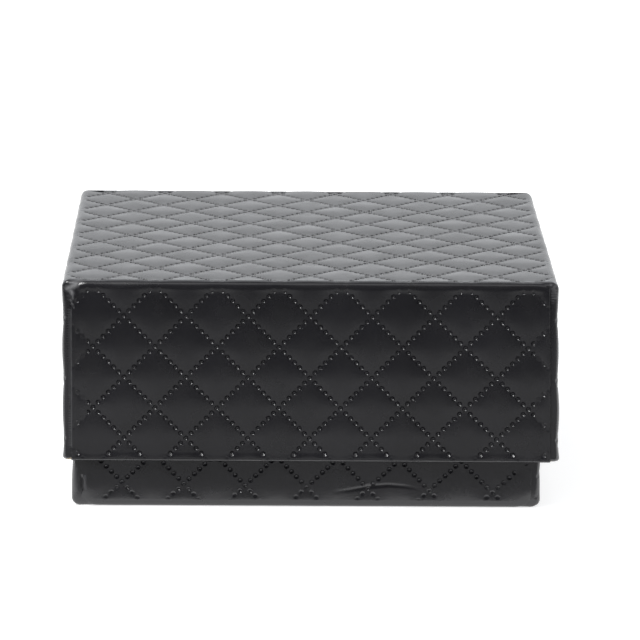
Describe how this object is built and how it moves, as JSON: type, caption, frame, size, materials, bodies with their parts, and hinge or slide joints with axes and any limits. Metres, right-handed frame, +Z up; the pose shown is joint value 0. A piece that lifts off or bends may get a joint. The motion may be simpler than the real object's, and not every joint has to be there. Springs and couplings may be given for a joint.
{
  "type": "pocket watch box",
  "caption": "Free-standing gift box with a lift-off lid, quilted leatherette outside and a die-cut foam insert that seats a pocket watch and its chain.",
  "frame": {"origin": "centre of the lid's outline, on the table that the base stands on", "axes": "+Z up, front of the box towards -Y, +X to the right of someone who faces the front"},
  "size_m": [0.09, 0.0834, 0.043],
  "materials": {
    "lid_board": "matt grey board",
    "lid_stay_front_left": "matt paper tape",
    "lid_stay_front_right": "matt paper tape",
    "lid_stay_back_left": "matt paper tape",
    "lid_stay_back_right": "matt paper tape",
    "lid_wrap": "glossy quilted leatherette",
    "lid_wall_lining": "matt black paper",
    "lid_top_lining": "matt black paper",
    "lid_pad_card": "matt grey card",
    "lid_pad_foam": "matt open foam",
    "lid_pad_satin": "black satin",
    "base_board": "matt grey board",
    "base_stay_front_left": "matt paper tape",
    "base_stay_front_right": "matt paper tape",
    "base_stay_back_left": "matt paper tape",
    "base_stay_back_right": "matt paper tape",
    "base_wrap": "glossy quilted leatherette",
    "base_wall_lining": "matt black paper",
    "base_floor_lining": "matt black paper",
    "insert_lower_foam": "matt black foam",
    "insert_upper_foam": "matt black foam",
    "insert_velvet": "black velvet",
    "recess_velvet": "black velvet"
  },
  "bodies": {
    "base": {"base_board": "base_board", "base_stay_front_left": "base_stay_front_left", "base_stay_front_right": "base_stay_front_right", "base_stay_back_left": "base_stay_back_left", "base_stay_back_right": "base_stay_back_right", "base_wrap": "base_wrap", "base_wall_lining": "base_wall_lining", "base_floor_lining": "base_floor_lining", "insert_lower_foam": "insert_lower_foam", "insert_upper_foam": "insert_upper_foam", "insert_velvet": "insert_velvet", "recess_velvet": "recess_velvet"},
    "lid": {"lid_board": "lid_board", "lid_stay_front_left": "lid_stay_front_left", "lid_stay_front_right": "lid_stay_front_right", "lid_stay_back_left": "lid_stay_back_left", "lid_stay_back_right": "lid_stay_back_right", "lid_wrap": "lid_wrap", "lid_wall_lining": "lid_wall_lining", "lid_top_lining": "lid_top_lining", "lid_pad_card": "lid_pad_card", "lid_pad_foam": "lid_pad_foam", "lid_pad_satin": "lid_pad_satin"}
  },
  "joints": [
    {"name": "lid_lift", "type": "slide", "parent": "base", "child": "lid", "axis": [0, 0, 1], "range_m": [0, 0.06]}
  ]
}
